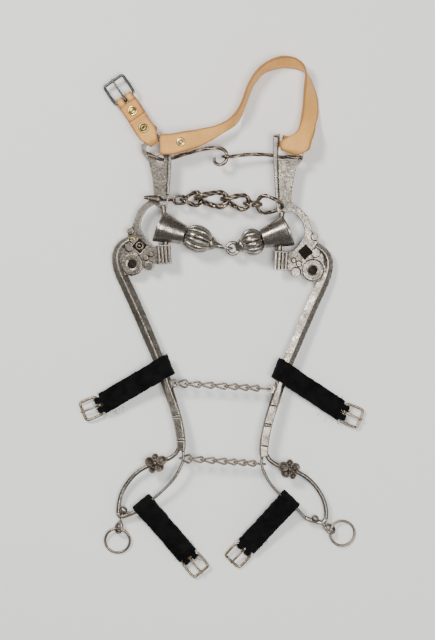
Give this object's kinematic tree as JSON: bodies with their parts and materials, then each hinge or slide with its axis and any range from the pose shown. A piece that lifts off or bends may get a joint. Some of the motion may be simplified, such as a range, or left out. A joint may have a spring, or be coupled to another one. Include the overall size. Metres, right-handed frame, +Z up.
{
  "type": "long-shanked curb bit",
  "caption": "Long-shanked jointed curb bit with rolling mouthpiece, curb chain, shank chains, linked rods, rein rings, buckled velvet straps and a leather headstall strap.",
  "frame": {"origin": "centre of the bounding box at its lowest point, the part lying flat on its mouthpiece bells", "axes": "+Y along the bit towards the headstall end, +X to the right cheek, +Z up out of the flat bit"},
  "size_m": [0.2858, 0.5226, 0.0321],
  "materials": {
    "steel": "aged, pitted and partly polished",
    "dark_iron": "dark forged iron, dull",
    "brass": "worn brass",
    "leather": "tan veg-tanned leather",
    "velvet": "black cotton velvet"
  },
  "bodies": {
    "left_canon": {"left_canon": "steel"},
    "right_canon": {"right_canon": "steel"},
    "left_melon": {"left_melon": "steel"},
    "left_cheek": {"left_cheek": "steel", "left_rosette": "dark_iron", "left_boss_rivet": "brass"},
    "left_swivel": {"left_swivel": "steel"},
    "left_rein_ring": {"left_rein_ring": "steel"},
    "right_melon": {"right_melon": "steel"},
    "right_cheek": {"right_cheek": "steel", "right_rosette": "dark_iron"},
    "right_swivel": {"right_swivel": "steel"},
    "right_rein_ring": {"right_rein_ring": "steel"},
    "left_top_rod": {"left_top_rod": "dark_iron"},
    "right_top_rod": {"right_top_rod": "dark_iron"},
    "curb_hook": {"curb_hook": "dark_iron"},
    "curb_link_1": {"curb_link_1": "dark_iron"},
    "curb_link_2": {"curb_link_2": "dark_iron"},
    "curb_link_3": {"curb_link_3": "dark_iron"},
    "curb_link_4": {"curb_link_4": "dark_iron"},
    "curb_link_5": {"curb_link_5": "dark_iron"},
    "upper_chain_left_link_1": {"upper_chain_left_link_1": "dark_iron"},
    "upper_chain_left_link_2": {"upper_chain_left_link_2": "dark_iron"},
    "upper_chain_left_link_3": {"upper_chain_left_link_3": "dark_iron"},
    "upper_chain_left_link_4": {"upper_chain_left_link_4": "dark_iron"},
    "upper_chain_right_link_1": {"upper_chain_right_link_1": "dark_iron"},
    "upper_chain_right_link_2": {"upper_chain_right_link_2": "dark_iron"},
    "upper_chain_right_link_3": {"upper_chain_right_link_3": "dark_iron"},
    "upper_chain_right_link_4": {"upper_chain_right_link_4": "dark_iron"},
    "lower_chain_left_link_1": {"lower_chain_left_link_1": "dark_iron"},
    "lower_chain_left_link_2": {"lower_chain_left_link_2": "dark_iron"},
    "lower_chain_left_link_3": {"lower_chain_left_link_3": "dark_iron"},
    "lower_chain_left_link_4": {"lower_chain_left_link_4": "dark_iron"},
    "lower_chain_right_link_1": {"lower_chain_right_link_1": "dark_iron"},
    "lower_chain_right_link_2": {"lower_chain_right_link_2": "dark_iron"},
    "lower_chain_right_link_3": {"lower_chain_right_link_3": "dark_iron"},
    "lower_chain_right_link_4": {"lower_chain_right_link_4": "dark_iron"},
    "left_leather_strap": {"left_leather_strap": "leather", "strap_eyelet": "brass"},
    "right_leather_strap": {"right_leather_strap": "leather"},
    "buckle_tab": {"buckle_tab": "leather", "tab_rivet_upper": "brass", "tab_rivet_lower": "brass"},
    "tab_buckle": {"tab_buckle": "dark_iron"},
    "tab_buckle_tongue": {"tab_buckle_tongue": "dark_iron"},
    "left_upper_velvet_strap": {"left_upper_velvet_strap": "velvet"},
    "left_upper_buckle": {"left_upper_buckle": "brass"},
    "left_upper_buckle_tongue": {"left_upper_buckle_tongue": "brass"},
    "right_upper_velvet_strap": {"right_upper_velvet_strap": "velvet"},
    "right_upper_buckle": {"right_upper_buckle": "brass"},
    "right_upper_buckle_tongue": {"right_upper_buckle_tongue": "brass"},
    "left_lower_velvet_strap": {"left_lower_velvet_strap": "velvet"},
    "left_lower_buckle": {"left_lower_buckle": "brass"},
    "left_lower_buckle_tongue": {"left_lower_buckle_tongue": "brass"},
    "right_lower_velvet_strap": {"right_lower_velvet_strap": "velvet"},
    "right_lower_buckle": {"right_lower_buckle": "brass"},
    "right_lower_buckle_tongue": {"right_lower_buckle_tongue": "brass"}
  },
  "joints": [
    {"name": "mouthpiece_fold", "type": "hinge", "parent": "left_canon", "child": "right_canon", "pos_m": [0.00531, 0.06895, 0.0161], "axis": [0, 1, 0], "range_deg": [-15, 15]},
    {"name": "left_melon_spin", "type": "hinge", "parent": "left_canon", "child": "left_melon", "pos_m": [-0.02661, 0.07921, 0.0161], "axis": [0.952, -0.306, 0], "continuous": true},
    {"name": "left_cheek_swing", "type": "hinge", "parent": "left_canon", "child": "left_cheek", "pos_m": [-0.05689, 0.08845, 0.0161], "axis": [-0.0652, 0.9979, 0], "range_deg": [-8, 5]},
    {"name": "left_swivel_spin", "type": "hinge", "parent": "left_cheek", "child": "left_swivel", "pos_m": [-0.09827, -0.19305, 0.00665], "axis": [-0.2537, -0.966, -0.0501], "continuous": true},
    {"name": "left_ring_swing", "type": "hinge", "parent": "left_swivel", "child": "left_rein_ring", "pos_m": [-0.10319, -0.21179, 0.00568], "axis": [0.9946, -0.1043, 0], "range_deg": [-20, 20]},
    {"name": "right_melon_spin", "type": "hinge", "parent": "right_canon", "child": "right_melon", "pos_m": [0.03025, 0.07514, 0.0161], "axis": [-0.9515, -0.3077, 0], "continuous": true},
    {"name": "right_cheek_swing", "type": "hinge", "parent": "right_canon", "child": "right_cheek", "pos_m": [0.05851, 0.08245, 0.0161], "axis": [0.0652, 0.9979, 0], "range_deg": [-8, 5]},
    {"name": "right_swivel_spin", "type": "hinge", "parent": "right_cheek", "child": "right_swivel", "pos_m": [0.09359, -0.20164, 0.00762], "axis": [0.8145, -0.5644, -0.1346], "continuous": true},
    {"name": "right_ring_swing", "type": "hinge", "parent": "right_swivel", "child": "right_rein_ring", "pos_m": [0.10939, -0.21259, 0.00501], "axis": [0.3208, 0.9471, 0], "range_deg": [-20, 20]},
    {"name": "left_rod_roll", "type": "hinge", "parent": "left_canon", "child": "left_top_rod", "pos_m": [0.00531, 0.16045, 0.0161], "axis": [0.9992, 0.0396, 0], "range_deg": [-3, 3]},
    {"name": "right_rod_roll", "type": "hinge", "parent": "right_canon", "child": "right_top_rod", "pos_m": [0.00531, 0.16045, 0.0161], "axis": [1, -0.0028, 0], "range_deg": [-3, 3]},
    {"name": "curb_hook_swing", "type": "hinge", "parent": "left_canon", "child": "curb_hook", "pos_m": [-0.05878, 0.11739, 0.0161], "axis": [-0.0652, 0.9979, 0], "range_deg": [-3, 1]},
    {"name": "curb_link_1_roll", "type": "hinge", "parent": "left_canon", "child": "curb_link_1", "pos_m": [-0.02996, 0.11802, 0.0161], "axis": [0.9992, -0.04, 0], "range_deg": [-6, 3]},
    {"name": "curb_link_2_roll", "type": "hinge", "parent": "left_canon", "child": "curb_link_2", "pos_m": [-0.01014, 0.11818, 0.0161], "axis": [0.9989, -0.0471, 0], "range_deg": [-6, 6]},
    {"name": "curb_link_3_roll", "type": "hinge", "parent": "right_canon", "child": "curb_link_3", "pos_m": [0.01369, 0.11612, 0.0161], "axis": [0.9992, -0.04, 0], "range_deg": [-6, 6]},
    {"name": "curb_link_4_roll", "type": "hinge", "parent": "right_canon", "child": "curb_link_4", "pos_m": [0.03102, 0.11367, 0.0161], "axis": [0.9992, -0.04, 0], "range_deg": [-6, 6]},
    {"name": "curb_link_5_roll", "type": "hinge", "parent": "right_canon", "child": "curb_link_5", "pos_m": [0.04776, 0.11238, 0.0161], "axis": [0.9992, -0.04, 0], "range_deg": [-6, 6]},
    {"name": "upper_chain_left_link_1_roll", "type": "hinge", "parent": "left_canon", "child": "upper_chain_left_link_1", "pos_m": [-0.04031, -0.06593, 0.0161], "axis": [0.998, -0.0629, 0], "range_deg": [-6, 6]},
    {"name": "upper_chain_left_link_2_roll", "type": "hinge", "parent": "left_canon", "child": "upper_chain_left_link_2", "pos_m": [-0.02852, -0.06667, 0.0161], "axis": [0.998, -0.0629, 0], "range_deg": [-6, 6]},
    {"name": "upper_chain_left_link_3_roll", "type": "hinge", "parent": "left_canon", "child": "upper_chain_left_link_3", "pos_m": [-0.01549, -0.06749, 0.0161], "axis": [0.998, -0.0629, 0], "range_deg": [-6, 6]},
    {"name": "upper_chain_left_link_4_roll", "type": "hinge", "parent": "left_canon", "child": "upper_chain_left_link_4", "pos_m": [-0.00245, -0.06832, 0.0161], "axis": [0.998, -0.0629, 0], "range_deg": [-6, 6]},
    {"name": "upper_chain_right_link_1_roll", "type": "hinge", "parent": "right_canon", "child": "upper_chain_right_link_1", "pos_m": [0.00945, -0.06907, 0.0161], "axis": [0.998, -0.0629, 0], "range_deg": [-6, 6]},
    {"name": "upper_chain_right_link_2_roll", "type": "hinge", "parent": "right_canon", "child": "upper_chain_right_link_2", "pos_m": [0.02024, -0.06975, 0.0161], "axis": [0.998, -0.0629, 0], "range_deg": [-6, 6]},
    {"name": "upper_chain_right_link_3_roll", "type": "hinge", "parent": "right_canon", "child": "upper_chain_right_link_3", "pos_m": [0.03102, -0.07042, 0.0161], "axis": [0.998, -0.0629, 0], "range_deg": [-6, 6]},
    {"name": "upper_chain_right_link_4_roll", "type": "hinge", "parent": "right_canon", "child": "upper_chain_right_link_4", "pos_m": [0.04181, -0.0711, 0.0161], "axis": [0.998, -0.0629, 0], "range_deg": [-6, 6]},
    {"name": "lower_chain_left_link_1_roll", "type": "hinge", "parent": "left_canon", "child": "lower_chain_left_link_1", "pos_m": [-0.03602, -0.14098, 0.0161], "axis": [0.9975, -0.07, 0], "range_deg": [-6, 6]},
    {"name": "lower_chain_left_link_2_roll", "type": "hinge", "parent": "left_canon", "child": "lower_chain_left_link_2", "pos_m": [-0.02546, -0.14172, 0.0161], "axis": [0.9975, -0.07, 0], "range_deg": [-6, 6]},
    {"name": "lower_chain_left_link_3_roll", "type": "hinge", "parent": "left_canon", "child": "lower_chain_left_link_3", "pos_m": [-0.01365, -0.14255, 0.0161], "axis": [0.9975, -0.07, 0], "range_deg": [-6, 6]},
    {"name": "lower_chain_left_link_4_roll", "type": "hinge", "parent": "left_canon", "child": "lower_chain_left_link_4", "pos_m": [-0.00184, -0.14338, 0.0161], "axis": [0.9975, -0.07, 0], "range_deg": [-6, 6]},
    {"name": "lower_chain_right_link_1_roll", "type": "hinge", "parent": "right_canon", "child": "lower_chain_right_link_1", "pos_m": [0.00884, -0.14413, 0.0161], "axis": [0.9975, -0.07, 0], "range_deg": [-6, 6]},
    {"name": "lower_chain_right_link_2_roll", "type": "hinge", "parent": "right_canon", "child": "lower_chain_right_link_2", "pos_m": [0.0184, -0.1448, 0.0161], "axis": [0.9975, -0.07, 0], "range_deg": [-6, 6]},
    {"name": "lower_chain_right_link_3_roll", "type": "hinge", "parent": "right_canon", "child": "lower_chain_right_link_3", "pos_m": [0.02796, -0.14547, 0.0161], "axis": [0.9975, -0.07, 0], "range_deg": [-6, 6]},
    {"name": "lower_chain_right_link_4_roll", "type": "hinge", "parent": "right_canon", "child": "lower_chain_right_link_4", "pos_m": [0.03751, -0.14614, 0.0161], "axis": [0.9975, -0.07, 0], "range_deg": [-6, 6]},
    {"name": "strap_lift", "type": "hinge", "parent": "left_canon", "child": "left_leather_strap", "pos_m": [0.00531, 0.17245, 0.0161], "axis": [1, 0, 0], "range_deg": [-1, 1.5]},
    {"name": "strap_bend", "type": "hinge", "parent": "left_leather_strap", "child": "right_leather_strap", "pos_m": [0.00531, 0.17245, 0.0161], "axis": [0, 1, 0], "range_deg": [-15, 15]},
    {"name": "tab_lift", "type": "hinge", "parent": "left_cheek", "child": "buckle_tab", "pos_m": [-0.06963, 0.17771, 0.01501], "axis": [0.8209, 0.5547, 0.1355], "range_deg": [-4, 40]},
    {"name": "tab_buckle_swing", "type": "hinge", "parent": "buckle_tab", "child": "tab_buckle", "pos_m": [-0.09655, 0.21848, 0.01117], "axis": [0.8209, 0.5547, 0.1355], "range_deg": [-10, 20]},
    {"name": "tab_buckle_tongue_lift", "type": "hinge", "parent": "tab_buckle", "child": "tab_buckle_tongue", "pos_m": [-0.09655, 0.21848, 0.01117], "axis": [0.8209, 0.5547, 0.1355], "range_deg": [0, 50]},
    {"name": "left_upper_strap_swing", "type": "hinge", "parent": "left_cheek", "child": "left_upper_velvet_strap", "pos_m": [-0.06021, -0.05156, 0.01413], "axis": [-0.3699, 0.9278, -0.0489], "range_deg": [-2, 6]},
    {"name": "left_upper_buckle_swing", "type": "hinge", "parent": "left_upper_velvet_strap", "child": "left_upper_buckle", "pos_m": [-0.12249, -0.08805, 0.00509], "axis": [-0.3699, 0.9278, -0.0489], "range_deg": [-8, 20]},
    {"name": "left_upper_buckle_tongue_lift", "type": "hinge", "parent": "left_upper_buckle", "child": "left_upper_buckle_tongue", "pos_m": [-0.12249, -0.08805, 0.00509], "axis": [-0.3699, 0.9278, -0.0489], "range_deg": [0, 50]},
    {"name": "right_upper_strap_swing", "type": "hinge", "parent": "right_cheek", "child": "right_upper_velvet_strap", "pos_m": [0.06255, -0.05561, 0.01404], "axis": [-0.3699, -0.9278, 0.0489], "range_deg": [-2, 6]},
    {"name": "right_upper_buckle_swing", "type": "hinge", "parent": "right_upper_velvet_strap", "child": "right_upper_buckle", "pos_m": [0.12249, -0.09527, 0.00528], "axis": [-0.3699, -0.9278, 0.0489], "range_deg": [-8, 20]},
    {"name": "right_upper_buckle_tongue_lift", "type": "hinge", "parent": "right_upper_buckle", "child": "right_upper_buckle_tongue", "pos_m": [0.12249, -0.09527, 0.00528], "axis": [-0.3699, -0.9278, 0.0489], "range_deg": [0, 50]},
    {"name": "left_lower_strap_swing", "type": "hinge", "parent": "left_cheek", "child": "left_lower_velvet_strap", "pos_m": [-0.07701, -0.18825, 0.01006], "axis": [-0.772, -0.6225, -0.1285], "range_deg": [-2, 6]},
    {"name": "left_lower_buckle_swing", "type": "hinge", "parent": "left_lower_velvet_strap", "child": "left_lower_buckle", "pos_m": [-0.03157, -0.24125, 0.00468], "axis": [-0.772, -0.6225, -0.1285], "range_deg": [-8, 20]},
    {"name": "left_lower_buckle_tongue_lift", "type": "hinge", "parent": "left_lower_buckle", "child": "left_lower_buckle_tongue", "pos_m": [-0.03157, -0.24125, 0.00468], "axis": [-0.772, -0.6225, -0.1285], "range_deg": [0, 50]},
    {"name": "right_lower_strap_swing", "type": "hinge", "parent": "right_cheek", "child": "right_lower_velvet_strap", "pos_m": [0.06632, -0.18423, 0.01211], "axis": [-0.7283, 0.6743, 0.1221], "range_deg": [-2, 6]},
    {"name": "right_lower_buckle_swing", "type": "hinge", "parent": "right_lower_velvet_strap", "child": "right_lower_buckle", "pos_m": [0.02273, -0.23185, 0.00441], "axis": [-0.7283, 0.6743, 0.1221], "range_deg": [-8, 20]},
    {"name": "right_lower_buckle_tongue_lift", "type": "hinge", "parent": "right_lower_buckle", "child": "right_lower_buckle_tongue", "pos_m": [0.02273, -0.23185, 0.00441], "axis": [-0.7283, 0.6743, 0.1221], "range_deg": [0, 50]}
  ],
  "couplings": [
    {"joint": "strap_bend", "follows": "mouthpiece_fold", "ratio": 1}
  ]
}
